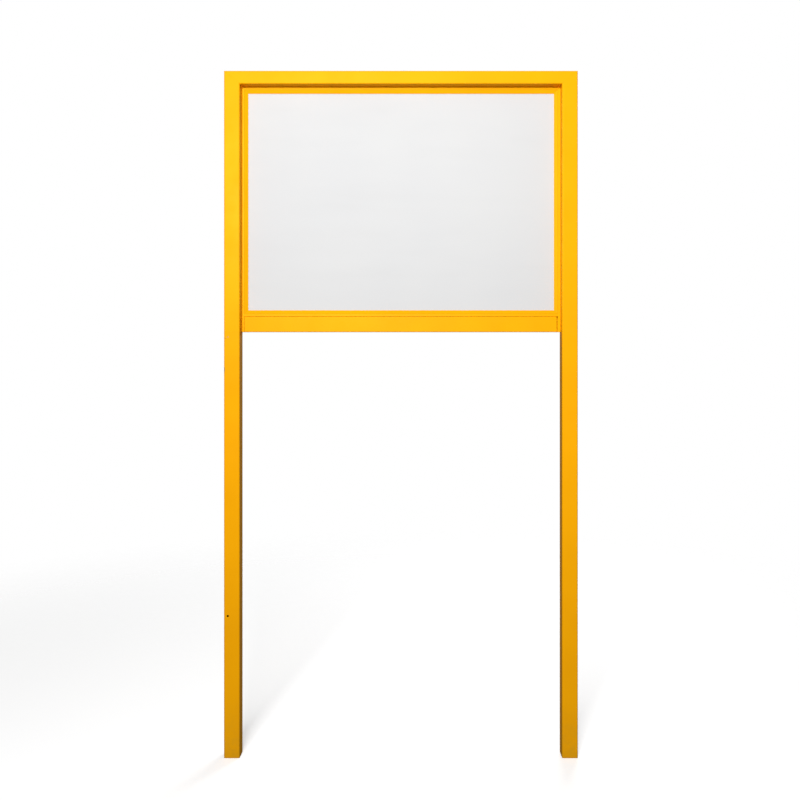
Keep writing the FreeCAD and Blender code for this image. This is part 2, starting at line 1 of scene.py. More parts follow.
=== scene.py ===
"""Looks of the two-post sign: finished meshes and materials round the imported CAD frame.

Metres, +Z up, the sign faces -Y. Every visible bar is swept again here from a rounded section, so that its
arrises are round, and stands for the CAD node of the same name.
"""
import math

import bmesh
import bpy
from mathutils import Matrix, Vector


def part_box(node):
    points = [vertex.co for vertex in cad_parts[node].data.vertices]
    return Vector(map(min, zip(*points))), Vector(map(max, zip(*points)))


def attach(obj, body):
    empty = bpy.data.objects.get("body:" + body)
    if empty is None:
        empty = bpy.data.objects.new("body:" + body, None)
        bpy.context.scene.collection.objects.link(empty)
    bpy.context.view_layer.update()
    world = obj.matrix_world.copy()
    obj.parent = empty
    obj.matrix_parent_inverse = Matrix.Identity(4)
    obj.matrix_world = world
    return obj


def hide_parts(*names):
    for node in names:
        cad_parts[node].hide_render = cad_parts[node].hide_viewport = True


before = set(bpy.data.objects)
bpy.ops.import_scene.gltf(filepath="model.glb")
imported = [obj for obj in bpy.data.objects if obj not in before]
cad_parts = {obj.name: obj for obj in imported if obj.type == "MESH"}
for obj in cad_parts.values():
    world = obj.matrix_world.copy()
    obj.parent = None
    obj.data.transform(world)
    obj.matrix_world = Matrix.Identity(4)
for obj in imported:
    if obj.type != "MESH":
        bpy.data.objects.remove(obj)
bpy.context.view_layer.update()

MM = 0.001

# ---------------------------------------------------------------- places read from the frame
LEG_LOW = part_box("left_leg")[0]
HEAD_LOW, HEAD_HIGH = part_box("head_rail")
POST_LOW, POST_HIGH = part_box("left_head_post")
STILE_LOW, STILE_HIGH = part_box("left_stile")
SILL_LOW, SILL_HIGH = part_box("sill")
BEAD_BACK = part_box("left_bead")[1].y
RAIL_LOW, RAIL_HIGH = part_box("bottom_rail")
SCREW_LOW, SCREW_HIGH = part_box("front_splice_screw")
REAR_SCREWS_LOW, REAR_SCREWS_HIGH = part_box("rear_splice_screws")

POST_WIDTH = POST_HIGH.x - POST_LOW.x
HALF_DEPTH = POST_HIGH.y
POST_CENTRE = -(POST_LOW.x + POST_HIGH.x) / 2
TOP = HEAD_HIGH.z
HEAD_HEIGHT = HEAD_HIGH.z - HEAD_LOW.z
SPLICE = POST_LOW.z
OPENING = -POST_HIGH.x
FRAME_FRONT, FRAME_BACK = STILE_LOW.y, STILE_HIGH.y
FLANGE = STILE_HIGH.x - STILE_LOW.x

# ---------------------------------------------------------------- sizes of the details
POST_WALL = 3 * MM
POST_RADIUS = 5 * MM
RAIL_WALL = 1.5 * MM
RAIL_RADIUS = 3 * MM
CHANNEL_WALL = 2 * MM
LIP = 10 * MM
BEAD_START = 10.2 * MM
BEAD_FRONT = FRAME_FRONT + 1 * MM
BEAD_EDGE = BEAD_FRONT + 5 * MM
BEAD_THICK = 1.5 * MM
BEAD_PLAY = 0.2 * MM
BEAD_FOOT = 5 * MM
HOOK_REACH = 5 * MM
BEAD_EDGE_RADIUS = 0.45 * MM
LEAST_INNER_RADIUS = 0.5 * MM
EDGE_RADIUS = 0.6 * MM
MITRE_EASE = 0.25 * MM
LEG_HOLE_RADIUS = 4 * MM
LEG_HOLE_HEIGHT = 540 * MM
FRONT_EDGE = 15 * MM
SCREW_HEAD_RADIUS = (SCREW_HIGH.x - SCREW_LOW.x) / 2


# ---------------------------------------------------------------- sections
def arc_corner(before, corner, after, radius, steps):
    """The points that round one corner of an outline, each with how far round the arris it is."""
    to_before, to_after = (before - corner).normalized(), (after - corner).normalized()
    half_angle = to_before.angle(to_after) / 2
    reach = radius / math.tan(half_angle)
    centre = corner + (to_before + to_after).normalized() * (radius / math.sin(half_angle))
    first = corner + to_before * reach - centre
    last = corner + to_after * reach - centre
    turn = first.angle_signed(last)
    points = []
    for step in range(steps + 1):
        share = step / steps
        spoke = first.copy()
        spoke.rotate(Matrix.Rotation(-turn * share, 2))
        points.append((centre + spoke, 1 - abs(2 * share - 1)))
    return points


def round_outline(corners, radii, steps=4):
    """An outline with its corners rounded; corners with no radius stay sharp."""
    count = len(corners)
    vectors = [Vector(corner) for corner in corners]
    points = []
    for index, (corner, radius) in enumerate(zip(vectors, radii)):
        if radius:
            points += arc_corner(vectors[index - 1], corner, vectors[(index + 1) % count], radius, steps)
        else:
            points.append((corner, 0.0))
    return points


def rectangle(width, depth, radius, steps=6):
    """A rounded rectangle about its centre."""
    across, along = width / 2, depth / 2
    corners = [(-across, -along), (across, -along), (across, along), (-across, along)]
    return round_outline(corners, [radius] * 4, steps)


def channel_section():
    """The recessed frame's section: a web, a short lip in front and a wide flange behind."""
    front, back, wall = FRAME_FRONT, FRAME_BACK, CHANNEL_WALL
    corners = [(0, front), (LIP, front), (LIP, front + wall), (wall, front + wall),
               (wall, back - wall), (FLANGE, back - wall), (FLANGE, back), (0, back)]
    edge, root = EDGE_RADIUS, EDGE_RADIUS / 2
    return round_outline(corners, [edge, edge, root, root, root, root, edge, edge])


def bead_section():
    """The bead's section: a sloping face, a foot on the gasket and a hook behind the lip."""
    behind = FRAME_FRONT + CHANNEL_WALL + BEAD_PLAY
    foot = BEAD_BACK
    inner = FLANGE - BEAD_FOOT
    corners = [(BEAD_START, BEAD_FRONT), (FLANGE, BEAD_EDGE), (FLANGE, foot), (inner, foot),
               (inner, BEAD_EDGE - 0.3 * BEAD_THICK),
               (BEAD_START + BEAD_THICK, BEAD_FRONT + 1.5 * BEAD_THICK),
               (BEAD_START + BEAD_THICK, behind + BEAD_THICK), (HOOK_REACH, behind + BEAD_THICK),
               (HOOK_REACH, behind), (BEAD_START, behind)]
    unrounded = [0] * (len(corners) - 2)
    return round_outline(corners, [EDGE_RADIUS, BEAD_EDGE_RADIUS] + unrounded)


# ---------------------------------------------------------------- mesh helpers
def new_object(name, mesh_builder):
    """An object of a finished bmesh, smooth between its arrises."""
    mesh = bpy.data.meshes.new(name)
    bmesh.ops.recalc_face_normals(mesh_builder, faces=mesh_builder.faces)
    for face in mesh_builder.faces:
        face.smooth = True
    mesh_builder.to_mesh(mesh)
    mesh_builder.free()
    piece = bpy.data.objects.new(name, mesh)
    bpy.context.scene.collection.objects.link(piece)
    return piece


def add_sweep(builder, loops, origin, across, run, start, end):
    """Sweep closed loops of one size between two planes, each a place and a slope along the section."""
    arris = builder.verts.layers.float.get("arris") or builder.verts.layers.float.new("arris")
    rings = []
    for place, slope in (start, end):
        for loop in loops:
            ring = []
            for point, roundness in loop:
                where = origin + across * point.x + Vector((0, point.y, 0))
                vertex = builder.verts.new(where + run * (place + slope * point.x))
                vertex[arris] = roundness
                ring.append(vertex)
            rings.append(ring)
    count = len(loops)
    for index in range(count):
        near, far = rings[index], rings[index + count]
        for step in range(len(near)):
            following = (step + 1) % len(near)
            builder.faces.new((near[step], near[following], far[following], far[step]))
    ends = []
    for first in (0, count):
        if count == 1:
            ends.append(builder.faces.new(rings[first]))
            continue
        outer, inner = rings[first], rings[first + 1]
        for step in range(len(outer)):
            following = (step + 1) % len(outer)
            ends.append(builder.faces.new((outer[step], outer[following], inner[following], inner[step])))
    return ends


def ease_ends(builder, ends, width):
    """Take the sharpness off the edges round the end faces."""
    faces = set(ends)
    edges = {edge for face in ends for edge in face.edges
             if not all(neighbour in faces for neighbour in edge.link_faces)}
    bmesh.ops.recalc_face_normals(builder, faces=builder.faces)
    bmesh.ops.bevel(builder, geom=list(edges), offset=width, segments=2, profile=0.5,
                    affect="EDGES", clamp_overlap=True)


def swept_bar(loops, origin, across, run, start, end, ease=MITRE_EASE):
    """One bar of a section, with its ends cut to the planes given."""
    builder = bmesh.new()
    ends = add_sweep(builder, loops, Vector(origin), Vector(across), Vector(run), start, end)
    ease_ends(builder, ends, ease)
    return new_object("bar", builder)


def tube_loops(width, depth, wall, radius):
    """The outer and the inner outline of a rectangular tube."""
    inner_radius = max(radius - wall, LEAST_INNER_RADIUS)
    return [rectangle(width, depth, radius), rectangle(width - 2 * wall, depth - 2 * wall, inner_radius)]


def block(low, high):
    """A mesh under construction that holds one block between two corners."""
    builder = bmesh.new()
    bmesh.ops.create_cube(builder, size=1)
    low, high = Vector(low), Vector(high)
    for vertex in builder.verts:
        vertex.co = (low + high) / 2 + Vector(a * b for a, b in zip(vertex.co, high - low))
    return builder


def box_tool(low, high):
    """A block that is cut from a piece."""
    return new_object("cutter", block(low, high))


def turned_tool(profile, place, outward, segments=48):
    """A solid turned from (radius, height) pairs about the outward direction."""
    builder = bmesh.new()
    add_turned(builder, profile, place, outward, segments)
    return new_object("cutter", builder)


def add_turned(builder, profile, place, outward, segments):
    """Rings of one profile, joined by faces, with a flat disc at each end."""
    turn = Vector((0, 0, 1)).rotation_difference(Vector(outward)).to_matrix()
    rings = []
    for radius, height in profile:
        ring = []
        for step in range(segments):
            angle = math.tau * step / segments
            local = Vector((radius * math.cos(angle), radius * math.sin(angle), height))
            ring.append(builder.verts.new(Vector(place) + turn @ local))
        rings.append(ring)
    for lower, upper in zip(rings, rings[1:]):
        for step in range(segments):
            following = (step + 1) % segments
            builder.faces.new((lower[step], lower[following], upper[following], upper[step]))
    builder.faces.new(rings[0])
    builder.faces.new(rings[-1])


def carve(piece, cutters):
    """Cut tools from a piece and drop them."""
    for cutter in cutters:
        cut = piece.modifiers.new("carve", "BOOLEAN")
        cut.operation = "DIFFERENCE"
        cut.solver = "EXACT"
        cut.object = cutter
    bpy.context.view_layer.update()
    finished = bpy.data.meshes.new_from_object(piece.evaluated_get(bpy.context.evaluated_depsgraph_get()))
    piece.modifiers.clear()
    piece.data = finished
    for cutter in cutters:
        bpy.data.objects.remove(cutter)
    return piece


def finish_piece(piece, node, material):
    """Dress a piece, stand it for its CAD node and let it ride on the sign."""
    piece.name = f"{node}_finished"
    piece.data.materials.clear()
    piece.data.materials.append(material)
    piece.data.set_sharp_from_angle(angle=math.radians(35))
    shading = piece.modifiers.new("even_shading", "WEIGHTED_NORMAL")
    shading.mode = "FACE_AREA"
    shading.weight = 100
    shading.keep_sharp = True
    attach(piece, "root")
    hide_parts(node)
    return piece


# ---------------------------------------------------------------- node helpers
class Paint:
    """A material under construction: its tree, its shader and the object's own coordinates."""

    def __init__(self, name, colour, roughness, metallic=0.0, specular=0.5):
        self.material = bpy.data.materials.new(name)
        self.material.use_nodes = True
        self.tree = self.material.node_tree
        self.shader = self.tree.nodes["Principled BSDF"]
        self.shader.inputs["Base Color"].default_value = (*colour, 1)
        self.shader.inputs["Roughness"].default_value = roughness
        self.shader.inputs["Metallic"].default_value = metallic
        self.shader.inputs["Specular IOR Level"].default_value = specular
        self.place = self.node("ShaderNodeTexCoord").outputs["Object"]

    def node(self, kind, **settings):
        made = self.tree.nodes.new(kind)
        for name, value in settings.items():
            setattr(made, name, value)
        return made

    def feed(self, socket, source):
        """Link an output to a socket, or set the socket to a plain value."""
        if isinstance(source, bpy.types.NodeSocket):
            self.tree.links.new(source, socket)
        else:
            socket.default_value = source

    def math(self, operation, first, second=0.0, clamp=False):
        made = self.node("ShaderNodeMath", operation=operation, use_clamp=clamp)
        self.feed(made.inputs[0], first)
        self.feed(made.inputs[1], second)
        return made.outputs[0]

    def stretched(self, scale):
        """The object's coordinates, scaled differently along each axis."""
        made = self.node("ShaderNodeVectorMath", operation="MULTIPLY")
        self.feed(made.inputs[0], self.place)
        made.inputs[1].default_value = scale
        return made.outputs[0]

    def noise(self, scale, detail=2.0, roughness=0.5, vector=None):
        made = self.node("ShaderNodeTexNoise")
        made.inputs["Scale"].default_value = scale
        made.inputs["Detail"].default_value = detail
        made.inputs["Roughness"].default_value = roughness
        self.feed(made.inputs["Vector"], vector or self.place)
        return made.outputs["Fac"]

    def ramp(self, source, low, high, to_low=0.0, to_high=1.0):
        """A smooth step from one value to another."""
        made = self.node("ShaderNodeMapRange", interpolation_type="SMOOTHSTEP")
        self.feed(made.inputs["Value"], source)
        made.inputs["From Min"].default_value = low
        made.inputs["From Max"].default_value = high
        made.inputs["To Min"].default_value = to_low
        made.inputs["To Max"].default_value = to_high
        return made.outputs["Result"]

    def mix(self, share, first, second):
        """A colour between two others."""
        made = self.node("ShaderNodeMix", data_type="RGBA")
        self.feed(made.inputs["Factor"], share)
        for socket, source in ((made.inputs[6], first), (made.inputs[7], second)):
            self.feed(socket, source if isinstance(source, bpy.types.NodeSocket) else (*source, 1))
        return made.outputs[2]

    def axis(self, name):
        made = self.node("ShaderNodeSeparateXYZ")
        self.feed(made.inputs[0], self.place)
        return made.outputs[name]

    def attribute(self, name):
        return self.node("ShaderNodeAttribute", attribute_name=name).outputs["Fac"]

    def near(self, spot, reach, stretch=(1, 1, 1)):
        """One close to a spot and nothing beyond its reach, with a ragged outline."""
        here = self.stretched(stretch)
        ragged = self.node("ShaderNodeTexNoise")
        ragged.inputs["Scale"].default_value = 1.2 / reach
        ragged.inputs["Detail"].default_value = 3
        self.feed(ragged.inputs["Vector"], self.place)
        far = self.node("ShaderNodeVectorMath", operation="DISTANCE")
        self.feed(far.inputs[0], here)
        far.inputs[1].default_value = [a * b for a, b in zip(spot, stretch)]
        wobble = self.math("MULTIPLY", self.math("SUBTRACT", ragged.outputs["Fac"], 0.5), reach * 1.4)
        return self.ramp(self.math("ADD", far.outputs["Value"], wobble), reach * 0.75, reach, 1.0, 0.0)

    def bump(self, height, distance, strength=1.0, over=None):
        made = self.node("ShaderNodeBump")
        made.inputs["Strength"].default_value = strength
        made.inputs["Distance"].default_value = distance
        self.feed(made.inputs["Height"], height)
        if over is not None:
            self.feed(made.inputs["Normal"], over)
        return made.outputs["Normal"]

    def colour(self, source):
        self.feed(self.shader.inputs["Base Color"], source)

    def roughness(self, source):
        self.feed(self.shader.inputs["Roughness"], source)

    def normal(self, source):
        self.feed(self.shader.inputs["Normal"], source)


# ---------------------------------------------------------------- materials
YELLOW = (0.84, 0.365, 0.002)
DEEP_YELLOW = (0.78, 0.325, 0.002)
UNDERCOAT = (0.33, 0.17, 0.05)
# colours that darken the coat towards the ground: a patchy brown low down and a darker band at the very
# bottom
FOOT_DARK = (0.42, 0.25, 0.02)
BOTTOM_DARK = (0.34, 0.17, 0.01)


def powder_coat(name, tone=1.0, darkened_foot=False, chips=()):
    """Traffic-yellow powder coat: fine orange peel, faint clouds, worn arrises, and, where asked, darker and
    browner towards the ground.
    """
    yellow = [channel * tone for channel in YELLOW]
    deep = [channel * tone for channel in DEEP_YELLOW]
    paint = Paint(name, yellow, 0.36, specular=0.13)
    clouds = paint.ramp(paint.noise(5.0, 3.0), 0.35, 0.7)
    colour = paint.mix(paint.math("MULTIPLY", clouds, 0.55), yellow, deep)
    speckle = paint.ramp(paint.noise(900.0, 1.0), 0.62, 0.75)
    colour = paint.mix(paint.math("MULTIPLY", speckle, 0.06), colour, UNDERCOAT)
    rubbed = paint.math("MULTIPLY", paint.attribute("arris"), paint.ramp(paint.noise(26.0, 4.0), 0.62, 0.72))
    colour = paint.mix(paint.math("MULTIPLY", rubbed, 0.35), colour, deep)
    chipped = paint.ramp(paint.noise(75.0, 5.0, 0.6), 0.73, 0.76)
    bare = paint.math("MULTIPLY", paint.attribute("arris"), chipped)
    for spot, reach, stretch in chips:
        bare = paint.math("MAXIMUM", bare, paint.near(spot, reach, stretch))
    colour = paint.mix(paint.math("MULTIPLY", bare, 0.8), colour, UNDERCOAT)
    roughness = paint.ramp(paint.noise(14.0, 2.0), 0.3, 0.75, 0.31, 0.42)
    # darker and browner in patches over the lowest 0.34 m, with a thin darker band in the bottom 5 cm;
    # rougher where darker
    if darkened_foot:
        low = paint.ramp(paint.axis("Z"), 0.0, 0.34, 1.0, 0.0)
        patches = paint.ramp(paint.noise(38.0, 5.0, 0.65), 0.38, 0.7)
        foot_darkening = paint.math("MULTIPLY", paint.math("MULTIPLY", low, low), paint.math("ADD", patches, 0.25))
        colour = paint.mix(paint.math("MULTIPLY", foot_darkening, 0.22), colour, FOOT_DARK)
        bottom_band = paint.math("MULTIPLY", paint.ramp(paint.axis("Z"), 0.0, 0.05, 1.0, 0.0), 0.15)
        colour = paint.mix(bottom_band, colour, BOTTOM_DARK)
        roughness = paint.math("ADD", roughness, paint.math("MULTIPLY", foot_darkening, 0.3))
    roughness = paint.math("ADD", roughness, paint.math("MULTIPLY", bare, 0.3), clamp=True)
    paint.colour(colour)
    paint.roughness(roughness)
    peel = paint.bump(paint.noise(420.0, 2.0), 0.2 * MM, 0.8)
    paint.normal(paint.bump(paint.math("SUBTRACT", 1.0, bare), 0.15 * MM, 0.6, over=peel))
    paint.shader.inputs["Specular Tint"].default_value = (1.0, 0.75, 0.15, 1)
    return paint.material


def print_sheet():
    """The blank panel's face: a pale grey satin film with a faint lay of its own and a few soft marks."""
    paint = Paint("blank_face", (0.54, 0.54, 0.54), 0.6, specular=0.06)
    clouds = paint.noise(2.2, 2.0)
    colour = paint.mix(paint.ramp(clouds, 0.3, 0.75), (0.55, 0.55, 0.55), (0.535, 0.536, 0.54))
    wiped = paint.noise(9.0, 4.0, vector=paint.stretched((0.35, 1.0, 2.2)))
    colour = paint.mix(paint.ramp(wiped, 0.55, 0.8, 0.0, 0.12), colour, (0.5, 0.5, 0.495))
    paint.colour(colour)
    paint.roughness(paint.ramp(wiped, 0.3, 0.8, 0.52, 0.68))
    paint.normal(paint.bump(paint.noise(700.0, 2.0), 0.03 * MM, 0.5))
    return paint.material


def composite_board():
    """The backing board: a mill-finish aluminium skin, rolled along its length, lightly weathered."""
    paint = Paint("backing_skin", (0.50, 0.51, 0.52), 0.6, metallic=0.55)
    rolled = paint.noise(60.0, 3.0, vector=paint.stretched((0.04, 1.0, 6.0)))
    stained = paint.ramp(paint.noise(3.0, 4.0), 0.5, 0.8)
    colour = paint.mix(rolled, (0.46, 0.47, 0.48), (0.54, 0.55, 0.56))
    paint.colour(paint.mix(paint.math("MULTIPLY", stained, 0.3), colour, (0.38, 0.38, 0.37)))
    paint.roughness(paint.ramp(rolled, 0.2, 0.8, 0.52, 0.66))
    paint.normal(paint.bump(rolled, 0.05 * MM, 0.4))
    return paint.material


def zinc(name, colour):
    """Zinc-plated steel with a fine spangle."""
    paint = Paint(name, colour, 0.4, metallic=1.0)
    spangle = paint.node("ShaderNodeTexVoronoi")
    spangle.inputs["Scale"].default_value = 260
    paint.feed(spangle.inputs["Vector"], paint.place)
    share = paint.math("MULTIPLY", spangle.outputs["Distance"], 0.9, clamp=True)
    dull = [channel * 0.75 for channel in colour]
    paint.colour(paint.mix(share, colour, dull))
    paint.roughness(paint.ramp(paint.noise(120.0, 3.0), 0.3, 0.7, 0.32, 0.52))
    paint.normal(paint.bump(paint.noise(800.0, 2.0), 0.03 * MM, 0.4))
    return paint.material


def painted_screw(seat):
    """A countersunk screw coated with the leg, its recess and rim rusting through."""
    paint = Paint("painted_screw", YELLOW, 0.45, specular=0.3)
    far = paint.node("ShaderNodeVectorMath", operation="DISTANCE")
    paint.feed(far.inputs[0], paint.place)
    far.inputs[1].default_value = seat
    inside = paint.ramp(far.outputs["Value"], 1.1 * MM, 2.3 * MM, 1.0, 0.0)
    rim = paint.ramp(far.outputs["Value"], 3.2 * MM, 3.9 * MM)
    patches = paint.ramp(paint.noise(650.0, 4.0), 0.35, 0.6)
    rust = paint.math("MAXIMUM", inside, paint.math("MULTIPLY", rim, patches))
    rust_colour = paint.mix(paint.noise(900.0, 3.0), (0.20, 0.08, 0.03), (0.42, 0.20, 0.07))
    coat = paint.mix(0.5, YELLOW, (0.62, 0.30, 0.04))
    paint.colour(paint.mix(paint.math("MULTIPLY", rust, 0.85), coat, rust_colour))
    paint.roughness(paint.ramp(rust, 0.0, 1.0, 0.42, 0.8))
    paint.normal(paint.bump(paint.noise(1200.0, 3.0), 0.05 * MM, 0.6))
    return paint.material


def moulded(name, colour, roughness):
    """Moulded plastic or rubber with a fine grain."""
    paint = Paint(name, colour, roughness, specular=0.35)
    grain = paint.noise(1100.0, 2.0)
    light = [channel * 1.25 + 0.01 for channel in colour]
    paint.colour(paint.mix(paint.ramp(grain, 0.3, 0.8), colour, light))
    paint.roughness(paint.ramp(grain, 0.3, 0.7, roughness - 0.06, roughness + 0.06))
    paint.normal(paint.bump(grain, 0.04 * MM, 0.5))
    return paint.material


# ---------------------------------------------------------------- the portal
def sunk_hole(seat, outward):
    """The tool for a countersunk hole through one wall."""
    head, shank = SCREW_HEAD_RADIUS + 0.1 * MM, 2.1 * MM
    profile = [(shank, -6 * MM), (shank, shank - head), (head, 0), (head, 1 * MM)]
    return turned_tool(profile, seat, outward)


def front_screw_seat():
    return Vector(((SCREW_LOW.x + SCREW_HIGH.x) / 2, -HALF_DEPTH, (SCREW_LOW.z + SCREW_HIGH.z) / 2))


def rear_screw_seats():
    """Seats of the four rear screws, by post side and by leg or head post."""
    reach = (REAR_SCREWS_HIGH.z - REAR_SCREWS_LOW.z) / 2 - SCREW_HEAD_RADIUS
    return {(side, step): Vector((side * POST_CENTRE, HALF_DEPTH, SPLICE + step * reach))
            for side in (-1, 1) for step in (-1, 1)}


def post_piece(side, start, end):
    """A length of one post's tube between two planes."""
    loops = tube_loops(POST_WIDTH, 2 * HALF_DEPTH, POST_WALL, POST_RADIUS)
    return swept_bar(loops, (side * POST_CENTRE, 0, 0), (1, 0, 0), (0, 0, 1), start, end)


def make_legs(materials):
    seats = rear_screw_seats()
    for name, side in (("left", -1), ("right", 1)):
        leg = post_piece(side, (LEG_LOW.z, 0), (SPLICE, 0))
        tools = [sunk_hole(seats[side, -1], (0, 1, 0))]
        if side < 0:
            tools.append(sunk_hole(front_screw_seat(), (0, -1, 0)))
            hole = Vector((LEG_LOW.x + FRONT_EDGE, -HALF_DEPTH, LEG_HOLE_HEIGHT))
            ease = 0.4 * MM
            profile = [(LEG_HOLE_RADIUS, -6 * MM), (LEG_HOLE_RADIUS, -ease), (LEG_HOLE_RADIUS + ease, 0),
                       (LEG_HOLE_RADIUS + ease, 1 * MM)]
            tools.append(turned_tool(profile, hole, (0, -1, 0)))
        finish_piece(carve(leg, tools), f"{name}_leg", materials[f"{name}_leg"])


def make_head(materials):
    seats = rear_screw_seats()
    middle = TOP - HEAD_HEIGHT / 2
    slope = HEAD_HEIGHT / POST_WIDTH
    for name, side in (("left", -1), ("right", 1)):
        post = post_piece(side, (SPLICE, 0), (middle, side * slope))
        carve(post, [sunk_hole(seats[side, 1], (0, 1, 0))])
        finish_piece(post, f"{name}_head_post", materials["portal"])
    loops = tube_loops(HEAD_HEIGHT, 2 * HALF_DEPTH, POST_WALL, POST_RADIUS)
    rail = swept_bar(loops, (0, 0, middle), (0, 0, -1), (1, 0, 0),
                     (-POST_CENTRE, 1 / slope), (POST_CENTRE, -1 / slope))
    finish_piece(rail, "head_rail", materials["portal"])


def make_foot_caps(materials):
    """A plate under each leg, with the collar that locates it inside the tube."""
    width = POST_WIDTH - 8 * MM
    collar_loops = [rectangle(width, width, 0.8 * MM),
                    rectangle(width - 2 * POST_WALL, width - 2 * POST_WALL, 0.8 * MM)]
    for name, side in (("left", -1), ("right", 1)):
        low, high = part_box(f"{name}_foot_cap")
        builder = bmesh.new()
        centre, across, run = Vector((side * POST_CENTRE, 0, 0)), Vector((1, 0, 0)), Vector((0, 0, 1))
        plate = [rectangle(POST_WIDTH, POST_WIDTH, POST_RADIUS)]
        # before the plate's bevel: added after it, the collar's place in the mesh varied by run
        add_sweep(builder, collar_loops, centre, across, run, (LEG_LOW.z, 0), (high.z, 0))
        ends = add_sweep(builder, plate, centre, across, run, (low.z, 0), (LEG_LOW.z, 0))
        ease_ends(builder, ends, 0.5 * MM)
        finish_piece(new_object("cap", builder), f"{name}_foot_cap", materials["foot"])


def make_screw(seat, outward):
    """A countersunk screw with a cross recess."""
    head, shank = SCREW_HEAD_RADIUS, 2 * MM
    length = SCREW_HIGH.y - SCREW_LOW.y
    profile = [(0.15 * MM, -length), (shank, 2 * MM - length), (shank, -2 * MM), (head, -0.12 * MM),
               (head - 0.15 * MM, 0)]
    screw = turned_tool(profile, seat, outward)
    arm, slot, depth = 1.5 * MM, 0.35 * MM, 1.2 * MM
    tools = []
    for half_x, half_z in ((arm, slot), (slot, arm)):
        inward = seat - Vector(outward) * depth
        outside = seat + Vector(outward) * depth
        low = [min(a, b) for a, b in zip(inward, outside)]
        high = [max(a, b) for a, b in zip(inward, outside)]
        tools.append(box_tool((seat.x - half_x, low[1], seat.z - half_z),
                              (seat.x + half_x, high[1], seat.z + half_z)))
    return carve(screw, tools)


def join(pieces):
    """One object of several."""
    builder = bmesh.new()
    for piece in pieces:
        builder.from_mesh(piece.data)
        bpy.data.objects.remove(piece)
    return new_object("group", builder)


def make_splice_screws(materials):
    front = [make_screw(front_screw_seat(), (0, -1, 0))]
    rear = [make_screw(seat, (0, 1, 0)) for seat in rear_screw_seats().values()]
    finish_piece(join(front), "front_splice_screw", materials["front_screw"])
    finish_piece(join(rear), "rear_splice_screws", materials["screw"])


# ---------------------------------------------------------------- the recessed frame and its beads
def side_axes(side, low_edge):
    """Origin, inward way, run and length of the bar along one side of the opening above a low edge."""
    high_edge = HEAD_LOW.z
    tall, wide = high_edge - low_edge, 2 * OPENING
    return {
        "left": ((-OPENING, 0, low_edge), (1, 0, 0), (0, 0, 1), tall),
        "top": ((-OPENING, 0, high_edge), (0, 0, -1), (1, 0, 0), wide),
        "right": ((OPENING, 0, high_edge), (-1, 0, 0), (0, 0, -1), tall),
        "bottom": ((OPENING, 0, low_edge), (0, 0, 1), (-1, 0, 0), wide),
    }[side]


def framed_bar(section, side, low_edge, mitre_start=True, mitre_end=True):
    origin, across, run, length = side_axes(side, low_edge)
    start, end = (0, 1 if mitre_start else 0), (length, -1 if mitre_end else 0)
    return swept_bar([section], origin, across, run, start, end)


def make_frame(materials):
    for side in ("left", "right"):
        stile = framed_bar(channel_section(), side, SPLICE, side == "right", side == "left")
        finish_piece(stile, f"{side}_stile", materials["frame"])
    top = framed_bar(channel_section(), "top", SILL_LOW.z)
    finish_piece(top, "top_bar", materials["frame"])
    sill = framed_bar(channel_section(), "bottom", SILL_LOW.z, False, False)
    tools = []
    margin = 5 * MM
    for sign in (-1, 1):
        steps = ((CHANNEL_WALL, FRAME_FRONT - margin, FRAME_BACK + margin),
                 (LIP, FRAME_FRONT - margin, FRAME_FRONT + CHANNEL_WALL),
                 (FLANGE, FRAME_BACK - CHANNEL_WALL, FRAME_BACK + margin))
        for reach, front, back in steps:
            ends = sorted((sign * (OPENING + margin), sign * (OPENING - reach)))
            low = (ends[0], front, SILL_LOW.z - margin)
            high = (ends[1], back, SILL_HIGH.z + margin)
            tools.append(box_tool(low, high))
    finish_piece(carve(sill, tools), "sill", materials["frame"])


def make_bottom_rail(materials):
    middle = (RAIL_LOW + RAIL_HIGH) / 2
    loops = tube_loops(RAIL_HIGH.z - RAIL_LOW.z, RAIL_HIGH.y - RAIL_LOW.y, RAIL_WALL, RAIL_RADIUS)
    centred = [[(point + Vector((0, middle.y)), roundness) for point, roundness in loop] for loop in loops]
    rail = swept_bar(centred, (0, 0, middle.z), (0, 0, -1), (1, 0, 0), (RAIL_LOW.x, 0), (RAIL_HIGH.x, 0))
    finish_piece(rail, "bottom_rail", materials["rail"])


def make_beads(materials):
    for side in ("left", "top", "right", "bottom"):
        bead = framed_bar(bead_section(), side, SILL_LOW.z)
        finish_piece(bead, f"{side}_bead", materials["bead"])


def make_sheet_piece(node, material, ease):
    """A flat sheet with eased edges, as large as its CAD node."""
    builder = block(*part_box(node))
    bmesh.ops.bevel(builder, geom=list(builder.edges), offset=ease, segments=3, profile=0.5,
                    affect="EDGES")
    finish_piece(new_object("sheet", builder), node, material)


# ---------------------------------------------------------------- what stays as the CAD drew it
def dress_cad_nodes(materials):
    """Give every CAD node that is still shown its own procedural finish."""
    finishes = (("gasket", "gasket"), ("setting_block", "plastic"), ("plug", "plastic"), ("cleat", "zinc"),
                ("spigot", "zinc"), ("screws", "screw"))
    for name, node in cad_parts.items():
        for part, finish in finishes:
            if part in name:
                node.data.materials.clear()
                node.data.materials.append(materials[finish])


# ---------------------------------------------------------------- the studio
FLOOR_RADIUS = 7.0
FLOOR_FADE = (1.2, 4.5)


